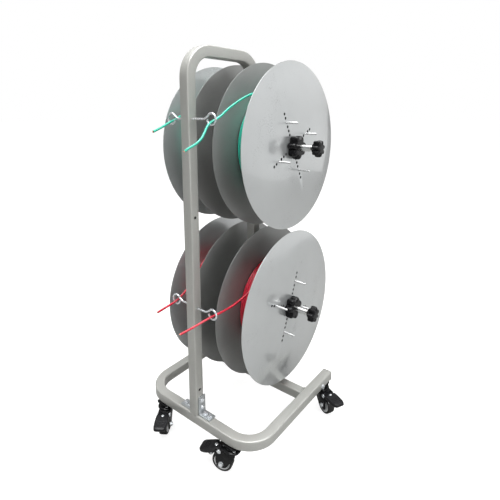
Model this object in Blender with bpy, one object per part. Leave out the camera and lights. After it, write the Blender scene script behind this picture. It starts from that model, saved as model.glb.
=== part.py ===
"""Mobile wire pay-off stand: a U-shaped base on four braked swivel casters, an arch of square tube,
and two fixed axles that each carry a reel of insulated wire on either side of the arch.

Metres, +Z up, +X along the axles. The origin is on the floor, under the middle of the stand.
"""

import math

import bmesh
import bpy
from mathutils import Matrix, Vector

GAP = 0.0003  # running and resting gap between neighbouring pieces

# Square tube of the base and the arch
TUBE = 0.025
TUBE_WALL = 0.0015
TUBE_CORNER = 0.003

# Base, lying flat on the casters
BASE_HALF_WIDTH = 0.188
BASE_BOTTOM = 0.075
BASE_BEND = 0.075  # outer radius of the two front bends
END_PLATE = 0.003
END_PLUG = 0.012

# Places along the depth of the stand
AXLE_Y = 0.0512
FRONT_LEG_Y = AXLE_Y - 0.229
BASE_FRONT = FRONT_LEG_Y - TUBE / 2
BASE_REAR = AXLE_Y + 0.1186
REAR_CASTER_Y = AXLE_Y + 0.090

# Arch
ARCH_TOP = 0.9625
ARCH_BEND = 0.072  # outer radius of its two bends
SPARE_HOLES_Z = (0.166, 0.5925)
SPARE_HOLE_RADIUS = 0.0035

# Axles and what they carry; distances out from the middle of the arch
AXLE_HEIGHTS = {"upper": 0.737, "lower": 0.324}
AXLE_RADIUS = 0.008
AXLE_HALF_LENGTH = 0.188
COLLAR_RADIUS = 0.013
COLLAR_OUT = 0.0232
FLANGE_RADIUS = 0.200
FLANGE_THICK = 0.002
INNER_FLANGE = 0.040
OUTER_FLANGE = 0.117
SLEEVE_RADIUS = 0.012
SLEEVE_FROM = 0.0238
SLEEVE_TO = 0.1400
SPIDER_FROM = 0.0345
SPIDER_THICK = 0.005
SPIDER_REACH = 0.095
SPIDER_WIDTH = 0.014
PIN_CIRCLE = 0.066
PIN_RADIUS = 0.0025
PIN_END = 0.150
CORE_TURN = {"upper_right": -26.6, "upper_left": 12.0, "lower_right": 22.1, "lower_left": -35.0}

# Wound wire
WIRE_RADIUS = 0.0025
WINDING_INSIDE = 0.0692
WINDING_OUTSIDE = {"upper": 0.119, "lower": 0.114}
WINDING_SIDE_GAP = 0.0006

# Star knobs: (outer radius, waist radius, from, to)
CLAMP_KNOB = (0.0290, 0.0235, 0.1195, 0.1405)
END_KNOB = (0.0200, 0.0160, 0.1757, 0.1963)
END_KNOB_BORE_TO = 0.1885
KNOB_LOBES = 7
KNOB_BEVEL = 0.004

# Eye bolts on the front leg: name -> (side, ring centre out from the leg's middle, height)
EYE_BOLTS = {
    "upper_right": (1, 0.066, 0.8077),
    "upper_left": (-1, 0.052, 0.8075),
    "lower_right": (1, 0.059, 0.3764),
    "lower_left": (-1, 0.057, 0.3799),
}
EYE_RING = 0.0115  # radius to the middle of the rod
EYE_ROD = 0.00225
EYE_ROD_FROM = 0.004

# Angle brackets at the feet of the arch
BRACKET_WIDTH = 0.022
BRACKET_THICK = 0.003
BRACKET_LEG = 0.047
BRACKET_FOOT = 0.036
BRACKET_BACK = 0.004  # the front pair sits this far behind the leg's middle
BOLT_HEAD = 0.0058
BOLT_HEAD_HIGH = 0.004

# Casters; distances from the swivel axis, along the trail, unless it says otherwise
CASTER_X = {"front": 0.1135, "rear": 0.1730}
CASTER_HEADING = {"front_left": -55.0, "front_right": 198.0, "rear_left": 155.0, "rear_right": -25.0}
PEDAL_TILT = {"front_left": 12.0, "front_right": 0.0, "rear_left": 18.0, "rear_right": 18.0}
CASTER_TRAIL = 0.023
WHEEL_RADIUS = 0.025
WHEEL_HALF_WIDTH = 0.010
WHEEL_BORE = 0.0044
FORK_TOP = 0.0665
FORK_SHEET = 0.0025
FORK_INSIDE = 0.0125
PEDAL_PIVOT = (0.028, 0.056)
PEDAL_TIP = 0.080

# Free wire ends: routes from the winding, through the eye, to the bare end; y is from the axles
TAIL_ROUTES = {
    "upper_right": [
        (0.080, 0.0126, 0.8581), (0.080, -0.0199, 0.8622), (0.080, -0.0549, 0.8645),
        (0.080, -0.0849, 0.8640), (0.079, -0.1089, 0.8602), (0.077, -0.1319, 0.8530),
        (0.075, -0.1489, 0.8455), (0.073, -0.1679, 0.8360), (0.071, -0.1879, 0.8245),
        (0.069, -0.2059, 0.8125), (0.067, -0.2239, 0.8045), (0.067, -0.2349, 0.8000),
        (0.068, -0.2449, 0.7920), (0.070, -0.2539, 0.7820), (0.072, -0.2639, 0.7720),
        (0.071, -0.2739, 0.7640), (0.068, -0.2829, 0.7585), (0.064, -0.2919, 0.7535),
        (0.060, -0.2999, 0.7480),
    ],
    "upper_left": [
        (-0.070, 0.0126, 0.8581), (-0.070, -0.0249, 0.8605), (-0.069, -0.0599, 0.8580),
        (-0.067, -0.0949, 0.8500), (-0.064, -0.1299, 0.8395), (-0.060, -0.1649, 0.8265),
        (-0.056, -0.1949, 0.8140), (-0.0525, -0.2189, 0.8050), (-0.0510, -0.2289, 0.8022),
        (-0.0490, -0.2429, 0.7980), (-0.0465, -0.2589, 0.7920), (-0.0450, -0.2749, 0.7865),
        (-0.0430, -0.2899, 0.7820),
    ],
    "lower_right": [
        (0.078, -0.0549, 0.4276), (0.078, -0.0839, 0.4142), (0.077, -0.1099, 0.4005),
        (0.075, -0.1299, 0.3905), (0.072, -0.1499, 0.3835), (0.069, -0.1719, 0.3780),
        (0.065, -0.1949, 0.3745), (0.061, -0.2169, 0.3728), (0.0585, -0.2289, 0.3722),
        (0.0560, -0.2399, 0.3705), (0.0510, -0.2549, 0.3665), (0.0450, -0.2699, 0.3615),
        (0.0375, -0.2849, 0.3560), (0.0290, -0.2999, 0.3500),
    ],
    "lower_left": [
        (-0.070, 0.0111, 0.4408), (-0.070, -0.0249, 0.4470), (-0.070, -0.0599, 0.4515),
        (-0.070, -0.0899, 0.4505), (-0.069, -0.1169, 0.4420), (-0.067, -0.1419, 0.4260),
        (-0.064, -0.1669, 0.4070), (-0.061, -0.1909, 0.3905), (-0.0585, -0.2149, 0.3800),
        (-0.0580, -0.2289, 0.3755), (-0.0600, -0.2429, 0.3715), (-0.0620, -0.2629, 0.3680),
        (-0.0615, -0.2849, 0.3660),
    ],
}
TAIL_STEP = 0.014

SIDES = {"right": 1, "left": -1}
BASE_TOP = BASE_BOTTOM + TUBE


def clear_scene():
    for obj in list(bpy.data.objects):
        bpy.data.objects.remove(obj, do_unlink=True)


def make_material(name, color, metallic, roughness):
    material = bpy.data.materials.new(name)
    material.use_nodes = True
    shader = material.node_tree.nodes["Principled BSDF"]
    shader.inputs["Base Color"].default_value = (*color, 1.0)
    shader.inputs["Metallic"].default_value = metallic
    shader.inputs["Roughness"].default_value = roughness
    return material


# Shapes ------------------------------------------------------------------------------------------


def skin(loops, closed):
    """A solid whose surface runs through loops of equally many points: open ends are capped, and a
    closed run of loops joins its last loop to its first."""
    bm = bmesh.new()
    rows = [[bm.verts.new(point) for point in loop] for loop in loops]
    pairs = list(zip(rows, rows[1:]))
    if closed:
        pairs.append((rows[-1], rows[0]))
    else:
        bm.faces.new(rows[0])
        bm.faces.new(rows[-1])
    for first, second in pairs:
        for i in range(len(first)):
            j = (i + 1) % len(first)
            bm.faces.new((first[i], first[j], second[j], second[i]))
    bmesh.ops.recalc_face_normals(bm, faces=bm.faces)
    return bm


def circle(radius, height, count, turn=0.5):
    """Points round +Z; a turn of 0.5 puts a flat, not a corner, on the +X axis."""
    angles = [2 * math.pi * (i + turn) / count for i in range(count)]
    return [Vector((radius * math.cos(a), radius * math.sin(a), height)) for a in angles]


def turned(profile, count, closed=False):
    """A solid turned round +Z from a profile of (radius, height) points."""
    return skin([circle(radius, height, count) for radius, height in profile], closed)


def prism(outline, low, high):
    """A solid with an outline of (x, y) points between two heights."""
    return skin([[Vector((x, y, z)) for x, y in outline] for z in (low, high)], False)


def star(outer, waist, height):
    """The lobed outline of a star knob: each lobe has a broad round tip and a narrow hollow."""
    points = []
    for i in range(KNOB_LOBES * 4):
        angle = 2 * math.pi * i / (KNOB_LOBES * 4)
        wave = (1 + math.cos(KNOB_LOBES * angle)) / 2
        radius = waist + (outer - waist) * math.sqrt(wave)
        points.append(Vector((radius * math.cos(angle), radius * math.sin(angle), height)))
    return points


def rounded_square(half, radius, steps):
    """Outline (a, b) of a square tube's section, with rounded corners."""
    outline = []
    for corner in range(4):
        start = math.pi / 2 * corner
        centre = Matrix.Rotation(start, 2) @ Vector((half - radius, half - radius))
        for step in range(steps + 1):
            angle = start + math.pi / 2 * step / steps
            outline.append((centre.x + radius * math.cos(angle), centre.y + radius * math.sin(angle)))
    return outline


def tube(stations, across):
    """A hollow square tube through stations of (centre, sideways direction); across is the
    direction square to its plane."""
    outer = rounded_square(TUBE / 2, TUBE_CORNER, 2)
    inner = rounded_square(TUBE / 2 - TUBE_WALL, TUBE_CORNER - TUBE_WALL, 2)
    outside = [[c + side * a + across * b for a, b in outer] for c, side in stations]
    inside = [[c + side * a + across * b for a, b in inner] for c, side in stations]
    return skin(outside + inside[::-1], True)


def bend(centre, first, last, radius, steps):
    """Stations round a bend: centre, and the two outward directions that it turns between."""
    stations = []
    for step in range(steps + 1):
        angle = math.pi / 2 * step / steps
        side = first * math.cos(angle) + last * math.sin(angle)
        stations.append((centre + side * radius, side))
    return stations


def smooth_route(points, step):
    """Points at even steps along the smooth curve (Catmull-Rom) through a route."""
    route = [Vector(p) for p in points]
    ends = [2 * route[0] - route[1]] + route + [2 * route[-1] - route[-2]]
    fine = []
    for p0, p1, p2, p3 in zip(ends, ends[1:], ends[2:], ends[3:]):
        for k in range(20):
            t = k / 20
            fine.append(
                0.5 * (2 * p1 + (p2 - p0) * t + (2 * p0 - 5 * p1 + 4 * p2 - p3) * t * t
                       + (3 * p1 - p0 - 3 * p2 + p3) * t * t * t)
            )
    fine.append(route[-1])
    lengths = [0.0]
    for a, b in zip(fine, fine[1:]):
        lengths.append(lengths[-1] + (b - a).length)
    count = max(2, round(lengths[-1] / step))
    even, at = [], 0
    for k in range(count + 1):
        want = lengths[-1] * k / count
        while at < len(fine) - 2 and lengths[at + 1] < want:
            at += 1
        share = (want - lengths[at]) / (lengths[at + 1] - lengths[at])
        even.append(fine[at].lerp(fine[at + 1], share))
    return even


def moved(bm, matrix):
    bmesh.ops.transform(bm, matrix=matrix, verts=bm.verts)
    return bm


def joined(meshes):
    """Several bmeshes in one, for a cutter or for pieces that a union then joins."""
    total = bmesh.new()
    for bm in meshes:
        part = bpy.data.meshes.new("part")
        bm.to_mesh(part)
        bm.free()
        total.from_mesh(part)
        bpy.data.meshes.remove(part)
    return total


# Objects -----------------------------------------------------------------------------------------


def add(name, bm, material, parent=None):
    mesh = bpy.data.meshes.new(name)
    bm.to_mesh(mesh)
    bm.free()
    mesh.shade_smooth()
    mesh.set_sharp_from_angle(angle=math.radians(35))
    mesh.materials.append(material)
    obj = bpy.data.objects.new(name, mesh)
    bpy.context.scene.collection.objects.link(obj)
    obj.parent = parent
    return obj


def helper(name, bm, parent=None):
    """A cutter, or a shape for a union: used by Booleans and not part of the stand."""
    mesh = bpy.data.meshes.new(name)
    bm.to_mesh(mesh)
    bm.free()
    obj = bpy.data.objects.new(name, mesh)
    bpy.context.scene.collection.objects.link(obj)
    obj.parent = parent
    obj.hide_render = True
    obj.display_type = "WIRE"
    return obj


def boolean(obj, operation, other):
    modifier = obj.modifiers.new(operation.lower(), "BOOLEAN")
    modifier.operation = operation
    modifier.object = other
    modifier.solver = "EXACT"


def tail_points(place):
    route = [(x, AXLE_Y + y, z) for x, y, z in TAIL_ROUTES[place]]
    return smooth_route(route, TAIL_STEP)


def add_rod(name, points, radius, sides_setting, material):
    """A round rod or wire along points, as a bevelled curve with filled ends."""
    curve = bpy.data.curves.new(name, "CURVE")
    curve.dimensions = "3D"
    curve.bevel_depth = radius
    curve.bevel_resolution = sides_setting
    curve.use_fill_caps = True
    spline = curve.splines.new("POLY")
    spline.points.add(len(points) - 1)
    for target, point in zip(spline.points, points):
        target.co = (*point, 1.0)
    curve.materials.append(material)
    obj = bpy.data.objects.new(name, curve)
    bpy.context.scene.collection.objects.link(obj)
    return obj


def empty(name, location, rotation):
    obj = bpy.data.objects.new(name, None)
    bpy.context.scene.collection.objects.link(obj)
    obj.location = location
    obj.rotation_mode = "QUATERNION"
    obj.rotation_quaternion = rotation
    return obj


# The frame ---------------------------------------------------------------------------------------


def base_frame(paint):
    """The U-shaped base, open at the back, bent from one tube."""
    middle = BASE_HALF_WIDTH - TUBE / 2
    height = BASE_BOTTOM + TUBE / 2
    rear = BASE_REAR - END_PLATE - GAP
    bend_y = BASE_FRONT + BASE_BEND
    radius = BASE_BEND - TUBE / 2
    left, right, front = Vector((-1, 0, 0)), Vector((1, 0, 0)), Vector((0, -1, 0))
    inset = BASE_HALF_WIDTH - BASE_BEND
    stations = [(Vector((-middle, rear, height)), left)]
    stations += bend(Vector((-inset, bend_y, height)), left, front, radius, 7)
    stations += bend(Vector((inset, bend_y, height)), front, right, radius, 7)
    stations += [(Vector((middle, rear, height)), right)]
    add("base_frame", tube(stations, Vector((0, 0, 1))), paint)
    for side, sign in SIDES.items():
        end_plate(side, Vector((sign * middle, 0, height)), paint)


def end_plate(side, centre, paint):
    """A plate that closes the rear end of a base leg, with a plug inside the tube."""
    plug = TUBE / 2 - TUBE_WALL - GAP
    full = rounded_square(TUBE / 2, TUBE_CORNER, 2)
    small = rounded_square(plug, TUBE_CORNER - TUBE_WALL, 2)
    levels = ((small, -END_PLATE - END_PLUG), (small, -END_PLATE), (full, -END_PLATE), (full, 0.0))
    loops = [
        [Vector((centre.x + a, BASE_REAR + back, centre.z + b)) for a, b in outline]
        for outline, back in levels
    ]
    add(f"end_plate_{side}", skin(loops, False), paint)


def rear_crossbar(paint):
    """The tube between the base legs, on which the arch's rear leg stands."""
    reach = BASE_HALF_WIDTH - TUBE - GAP
    height = BASE_BOTTOM + TUBE / 2
    stations = [(Vector((x, AXLE_Y, height)), Vector((0, 1, 0))) for x in (-reach, reach)]
    add("rear_crossbar", tube(stations, Vector((0, 0, 1))), paint)


def arch(paint):
    """The arch of square tube: front leg, top bar and rear leg, drilled for axles and eye bolts."""
    foot = BASE_TOP + GAP
    radius = ARCH_BEND - TUBE / 2
    front, back, up = Vector((0, -1, 0)), Vector((0, 1, 0)), Vector((0, 0, 1))
    bend_z = ARCH_TOP - ARCH_BEND
    stations = [(Vector((0, FRONT_LEG_Y, foot)), front)]
    stations += bend(Vector((0, FRONT_LEG_Y + radius, bend_z)), front, up, radius, 7)
    stations += bend(Vector((0, AXLE_Y - radius, bend_z)), up, back, radius, 7)
    stations += [(Vector((0, AXLE_Y, foot)), back)]
    obj = add("arch_frame", tube(stations, Vector((1, 0, 0))), paint)
    boolean(obj, "DIFFERENCE", helper("arch_holes", arch_holes()))


def arch_holes():
    along_x = Matrix.Rotation(math.pi / 2, 4, "Y")

    def hole(radius, low, high, y, z, count):
        drill = turned([(radius, low), (radius, high)], count)
        return moved(drill, Matrix.Translation((0, y, z)) @ along_x)

    holes = [hole(AXLE_RADIUS + GAP, -TUBE, TUBE, AXLE_Y, z, 16) for z in AXLE_HEIGHTS.values()]
    holes += [hole(SPARE_HOLE_RADIUS, -TUBE, TUBE, FRONT_LEG_Y, z, 8) for z in SPARE_HOLES_Z]
    for side, _, z in EYE_BOLTS.values():
        ends = sorted((side * EYE_ROD_FROM, side * TUBE))
        holes.append(hole(EYE_ROD + 2 * GAP, *ends, FRONT_LEG_Y, z, 8))
    return joined(holes)


def hexagon(low, high):
    return turned([(BOLT_HEAD, low), (BOLT_HEAD, high)], 6)


def foot_bracket(name, side, y, zinc):
    """An angle bracket between a foot of the arch and the base, with its bolt heads."""
    near = side * (TUBE / 2 + GAP)
    bottom = BASE_TOP + GAP
    outline = [
        (0, 0), (BRACKET_FOOT, 0), (BRACKET_FOOT, BRACKET_THICK),
        (BRACKET_THICK, BRACKET_THICK), (BRACKET_THICK, BRACKET_LEG), (0, BRACKET_LEG),
    ]
    loops = [
        [Vector((near + side * a, y + shift, bottom + b)) for a, b in outline]
        for shift in (-BRACKET_WIDTH / 2, BRACKET_WIDTH / 2)
    ]
    obj = add(name, skin(loops, False), zinc)
    face = BRACKET_THICK / 2
    heads = []
    for a in (0.0135, 0.0275):
        place = Matrix.Translation((near + side * a, y, bottom))
        heads.append(moved(hexagon(face, BRACKET_THICK + BOLT_HEAD_HIGH), place))
    for b in (0.0180, 0.0350):
        place = Matrix.Translation((near, y, bottom + b))
        turn = Matrix.Rotation(side * math.pi / 2, 4, "Y")
        heads.append(moved(hexagon(face, BRACKET_THICK + BOLT_HEAD_HIGH), place @ turn))
    boolean(obj, "UNION", helper(f"{name}_bolts", joined(heads)))


def eye_bolt(name, side, ring_out, height, zinc):
    """A rod screwed into the front leg, its outer end bent up and round into a ring."""
    rise = math.radians(140)
    turn = math.radians(310)
    steps = 16
    points = [Vector((side * EYE_ROD_FROM, FRONT_LEG_Y, height))]
    points.append(Vector((side * (ring_out - 0.0175), FRONT_LEG_Y, height)))
    for k in range(steps + 1):
        angle = rise - turn * k / steps
        x = ring_out + EYE_RING * math.cos(angle)
        points.append(Vector((side * x, FRONT_LEG_Y, height + EYE_RING * math.sin(angle))))
    add_rod(name, points, EYE_ROD, 1, zinc)


# Axles and reels ---------------------------------------------------------------------------------


def axle(tier, height, steel):
    """A fixed axle through the rear leg, locked by a collar on either side of it."""
    near = TUBE / 2 + GAP
    half = [(AXLE_RADIUS, near), (COLLAR_RADIUS, near), (COLLAR_RADIUS, COLLAR_OUT),
            (AXLE_RADIUS, COLLAR_OUT), (AXLE_RADIUS, AXLE_HALF_LENGTH)]
    profile = [(radius, -out) for radius, out in half[::-1]] + half
    obj = add(f"axle_{tier}", turned(profile, 16), steel)
    obj.location = (0, AXLE_Y, height)
    obj.rotation_euler = (0, math.pi / 2, 0)


def reel_core(name, parent, steel):
    """The sleeve that runs on the axle, the spider behind the inner flange, and its four pins."""
    half = SPIDER_WIDTH / 2
    cross = [(half, SPIDER_REACH), (-half, SPIDER_REACH), (-half, half)]
    outline = []
    for quarter in range(4):
        spin = Matrix.Rotation(math.pi / 2 * quarter, 2)
        outline += [tuple(spin @ Vector(point)) for point in cross]
    obj = add(name, prism(outline, SPIDER_FROM, SPIDER_FROM + SPIDER_THICK), steel)
    sleeve = turned([(SLEEVE_RADIUS, SLEEVE_FROM), (SLEEVE_RADIUS, SLEEVE_TO)], 16)
    bore = turned([(AXLE_RADIUS + GAP, 0), (AXLE_RADIUS + GAP, PIN_END)], 16)
    boolean(obj, "UNION", helper(f"{name}_sleeve", sleeve, parent))
    boolean(obj, "UNION", helper(f"{name}_pins", pins(PIN_RADIUS, SPIDER_FROM + 0.001), parent))
    boolean(obj, "DIFFERENCE", helper(f"{name}_bore", bore, parent))
    obj.parent = parent


def pins(radius, low):
    rods = []
    for quarter in range(4):
        angle = math.pi / 2 * quarter
        place = Vector((PIN_CIRCLE * math.cos(angle), PIN_CIRCLE * math.sin(angle), 0))
        rod = turned([(radius, low), (radius, PIN_END)], 6)
        rods.append(moved(rod, Matrix.Translation(place)))
    return joined(rods)


def flange(name, start, parent, drill, sheet):
    """A round sheet-metal flange with holes for the sleeve and the pins."""
    disc = turned([(FLANGE_RADIUS, start), (FLANGE_RADIUS, start + FLANGE_THICK)], 40)
    obj = add(name, disc, sheet)
    boolean(obj, "DIFFERENCE", drill)
    obj.parent = parent


def winding(name, outside, parent, wire):
    """The wound wire between the flanges, as one ring."""
    low = INNER_FLANGE + FLANGE_THICK + WINDING_SIDE_GAP
    high = OUTER_FLANGE - WINDING_SIDE_GAP
    ease = 0.003
    profile = [
        (WINDING_INSIDE, low), (outside - ease, low), (outside, low + ease),
        (outside, high - ease), (outside - ease, high), (WINDING_INSIDE, high),
    ]
    add(name, turned(profile, 32, closed=True), wire, parent)


def clamp_knob(name, parent, plastic):
    """The large star knob, threaded on the sleeve, that clamps the outer flange."""
    outer, waist, low, high = CLAMP_KNOB
    bore = SLEEVE_RADIUS + GAP
    count = KNOB_LOBES * 4
    loops = [circle(bore, low, count, 0), star(outer, waist, low), star(outer, waist, high - KNOB_BEVEL)]
    loops += [star(outer - KNOB_BEVEL, waist - KNOB_BEVEL, high), circle(bore, high, count, 0)]
    add(name, skin(loops, True), plastic, parent)


def end_knob(name, parent, plastic):
    """The small star knob on the axle's end, which keeps the reel on."""
    outer, waist, low, high = END_KNOB
    bore = AXLE_RADIUS + GAP
    count = KNOB_LOBES * 4
    loops = [circle(bore, END_KNOB_BORE_TO, count, 0), circle(bore, low, count, 0)]
    loops += [star(outer, waist, low), star(outer, waist, high - KNOB_BEVEL)]
    loops += [star(outer - KNOB_BEVEL, waist - KNOB_BEVEL, high)]
    add(name, skin(loops, False), plastic, parent)


def reel(tier, side, materials):
    """One reel: an empty on the axle carries its pieces, which are built outwards along +Z."""
    place = f"{tier}_{side}"
    sign = SIDES[side]
    outwards = Matrix.Rotation(sign * math.pi / 2, 4, "Y")
    # A core turn of 0 puts a pin straight up, and a positive turn leans it towards the back.
    spin = Matrix.Rotation(math.radians(-CORE_TURN[place]), 4, "X")
    upright = Matrix.Rotation(math.pi, 4, "Z") if sign > 0 else Matrix.Identity(4)
    turn = (spin @ outwards @ upright).to_quaternion()
    hub = empty(f"hub_{place}", (0, AXLE_Y, AXLE_HEIGHTS[tier]), turn)
    reel_core(f"reel_core_{place}", hub, materials["bright_steel"])
    through = turned([(SLEEVE_RADIUS + GAP, 0), (SLEEVE_RADIUS + GAP, PIN_END)], 16)
    drill = helper(f"flange_holes_{place}", joined([through, pins(PIN_RADIUS + 2 * GAP, 0)]), hub)
    flange(f"inner_flange_{place}", INNER_FLANGE, hub, drill, materials["flange_sheet"])
    flange(f"outer_flange_{place}", OUTER_FLANGE, hub, drill, materials["flange_sheet"])
    wire = materials["green_wire"] if tier == "upper" else materials["red_wire"]
    winding(f"winding_{place}", WINDING_OUTSIDE[tier], hub, wire)
    clamp_knob(f"clamp_knob_{place}", hub, materials["knob_plastic"])
    end_knob(f"end_knob_{place}", hub, materials["knob_plastic"])
    add_rod(f"wire_tail_{place}", tail_points(place), WIRE_RADIUS, 2, wire)


# Casters -----------------------------------------------------------------------------------------


def caster_mount(name, parent, metal):
    """The plate and ball race that bolt under the base."""
    profile = [
        (0.0130, 0.0670), (0.0175, 0.0690), (0.0190, 0.0715),
        (0.0250, 0.0722), (0.0250, BASE_BOTTOM - GAP),
    ]
    add(name, turned(profile, 16), metal, parent)


def fork(name, parent, metal):
    """The swivel fork: a round crown, two cheeks, and the wheel's axle bolt."""
    crown = [(0.0210, 0.0600), (0.0210, 0.0640), (0.0150, FORK_TOP)]
    obj = add(name, turned(crown, 16), metal, parent)
    outline = [
        (-0.0120, 0.0615), (-0.0100, 0.0480), (0.0130, 0.0165), (0.0330, 0.0165),
        (0.0360, 0.0240), (0.0360, 0.0560), (0.0310, 0.0615),
    ]
    flat_to_side = Matrix.Rotation(math.pi / 2, 4, "X")
    cheeks = []
    for sign in (-1, 1):
        low, high = sorted((sign * FORK_INSIDE, sign * (FORK_INSIDE + FORK_SHEET)))
        cheeks.append(moved(prism(outline, low, high), flat_to_side))
    boolean(obj, "UNION", helper(f"{name}_cheeks", joined(cheeks), parent))
    bolt = [(0.0058, -0.0185), (0.0058, -0.0145), (0.0040, -0.0145),
            (0.0040, 0.0145), (0.0058, 0.0145), (0.0058, 0.0185)]
    across = Matrix.Translation((CASTER_TRAIL, 0, WHEEL_RADIUS)) @ flat_to_side
    boolean(obj, "UNION", helper(f"{name}_bolt", moved(turned(bolt, 12), across), parent))


def wheel(name, parent, rubber):
    """A wheel with a rounded tread, turned about its own axle; a flat of it rests on the floor."""
    shoulder = 0.003
    half, outer = WHEEL_HALF_WIDTH, WHEEL_RADIUS / math.cos(math.pi / 24)
    profile = [
        (WHEEL_BORE, -half), (outer - shoulder, -half), (outer, shoulder - half),
        (outer, half - shoulder), (outer - shoulder, half), (WHEEL_BORE, half),
    ]
    obj = add(name, turned(profile, 24, closed=True), rubber, parent)
    obj.location = (CASTER_TRAIL, 0, WHEEL_RADIUS)
    obj.rotation_euler = (math.pi / 2, 0, 0)


def pedal(name, parent, tilt, plastic):
    """The brake pedal: a tongue between the cheeks and a wide pad, turning about its pivot."""
    x, z = PEDAL_PIVOT
    wide, narrow = 0.0165, FORK_INSIDE - 0.0005
    neck = 0.0375
    sections = [  # distance out, half width, underside, top
        (0.0225, narrow, 0.0530, 0.0590), (neck, narrow, 0.0510, 0.0595),
        (neck + 0.0005, wide, 0.0505, 0.0595), (0.0560, wide, 0.0440, 0.0545),
        (0.0730, wide - 0.001, 0.0400, 0.0495), (PEDAL_TIP, wide - 0.006, 0.0400, 0.0465),
    ]
    loops = []
    for out, half, low, high in sections:
        corners = ((-half, low), (half, low), (half, high), (-half, high))
        loops.append([Vector((out - x, y, level - z)) for y, level in corners])
    obj = add(name, skin(loops, False), plastic, parent)
    obj.location = (x, 0, z)
    obj.rotation_euler = (0, math.radians(-tilt), 0)


def caster(place, materials):
    """One caster: an empty on its swivel axis carries its pieces, which trail along +X."""
    end, side = place.split("_")
    x = SIDES[side] * CASTER_X[end]
    y = FRONT_LEG_Y if end == "front" else REAR_CASTER_Y
    heading = Matrix.Rotation(math.radians(CASTER_HEADING[place]), 4, "Z").to_quaternion()
    swivel = empty(f"swivel_{place}", (x, y, 0), heading)
    caster_mount(f"caster_mount_{place}", swivel, materials["caster_black"])
    fork(f"caster_fork_{place}", swivel, materials["caster_black"])
    wheel(f"caster_wheel_{place}", swivel, materials["wheel_rubber"])
    pedal(f"brake_pedal_{place}", swivel, PEDAL_TILT[place], materials["pedal_plastic"])


def main():
    clear_scene()
    materials = {
        "frame_paint": make_material("frame_paint", (0.42, 0.43, 0.41), 0.35, 0.42),
        "flange_sheet": make_material("flange_sheet", (0.60, 0.61, 0.60), 0.85, 0.38),
        "bright_steel": make_material("bright_steel", (0.80, 0.81, 0.82), 1.0, 0.18),
        "zinc_plate": make_material("zinc_plate", (0.72, 0.76, 0.80), 1.0, 0.28),
        "knob_plastic": make_material("knob_plastic", (0.012, 0.012, 0.013), 0.0, 0.35),
        "caster_black": make_material("caster_black", (0.010, 0.010, 0.011), 0.2, 0.35),
        "pedal_plastic": make_material("pedal_plastic", (0.015, 0.015, 0.016), 0.0, 0.45),
        "wheel_rubber": make_material("wheel_rubber", (0.020, 0.020, 0.021), 0.0, 0.60),
        "green_wire": make_material("green_wire", (0.02, 0.45, 0.33), 0.0, 0.35),
        "red_wire": make_material("red_wire", (0.55, 0.02, 0.06), 0.0, 0.35),
    }
    base_frame(materials["frame_paint"])
    rear_crossbar(materials["frame_paint"])
    arch(materials["frame_paint"])
    for end, y in (("front", FRONT_LEG_Y + BRACKET_BACK), ("rear", AXLE_Y)):
        for side, sign in SIDES.items():
            foot_bracket(f"foot_bracket_{end}_{side}", sign, y, materials["zinc_plate"])
    for place, (side, ring_out, height) in EYE_BOLTS.items():
        eye_bolt(f"eye_bolt_{place}", side, ring_out, height, materials["zinc_plate"])
    for tier, height in AXLE_HEIGHTS.items():
        axle(tier, height, materials["bright_steel"])
        for side in SIDES:
            reel(tier, side, materials)
    for place in CASTER_HEADING:
        caster(place, materials)


main()
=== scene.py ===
"""Finished look of a mobile wire reel stand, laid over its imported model.

Metres, +Z up, +X along the axles, floor at z = 0. Small pieces are built in a frame of their own: a
reel's has +Z outwards along the axle, a caster's has its swivel axis at the origin and trails along +X.
"""

import math

import bmesh
import bpy
from mathutils import Matrix, Vector, noise


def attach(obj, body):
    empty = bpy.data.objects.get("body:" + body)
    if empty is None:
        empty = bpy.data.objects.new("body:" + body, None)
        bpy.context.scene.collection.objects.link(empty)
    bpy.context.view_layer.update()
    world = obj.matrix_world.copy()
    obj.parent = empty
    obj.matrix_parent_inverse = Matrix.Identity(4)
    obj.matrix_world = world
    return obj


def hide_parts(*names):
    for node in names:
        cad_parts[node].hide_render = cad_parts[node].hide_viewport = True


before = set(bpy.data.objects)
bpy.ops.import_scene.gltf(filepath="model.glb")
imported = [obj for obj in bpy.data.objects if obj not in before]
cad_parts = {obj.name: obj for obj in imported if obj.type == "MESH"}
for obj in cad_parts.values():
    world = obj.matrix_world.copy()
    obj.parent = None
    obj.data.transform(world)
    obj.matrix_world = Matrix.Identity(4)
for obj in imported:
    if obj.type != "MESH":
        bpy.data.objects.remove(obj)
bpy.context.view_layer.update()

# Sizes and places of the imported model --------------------

TUBE = 0.025
TUBE_WALL = 0.0015
TUBE_CORNER = 0.003
BASE_HALF_WIDTH = 0.188
BASE_BOTTOM = 0.075
BASE_TOP = BASE_BOTTOM + TUBE
BASE_BEND = 0.075
AXLE_Y = 0.0512
FRONT_LEG_Y = AXLE_Y - 0.229
BASE_FRONT = FRONT_LEG_Y - TUBE / 2
BASE_REAR = AXLE_Y + 0.1186
REAR_CASTER_Y = AXLE_Y + 0.090
END_PLATE = 0.003
ARCH_TOP = 0.9625
ARCH_BEND = 0.072
SPARE_HOLES_Z = (0.166, 0.5925)
SPARE_HOLE_RADIUS = 0.0035
GAP = 0.0003

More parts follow.
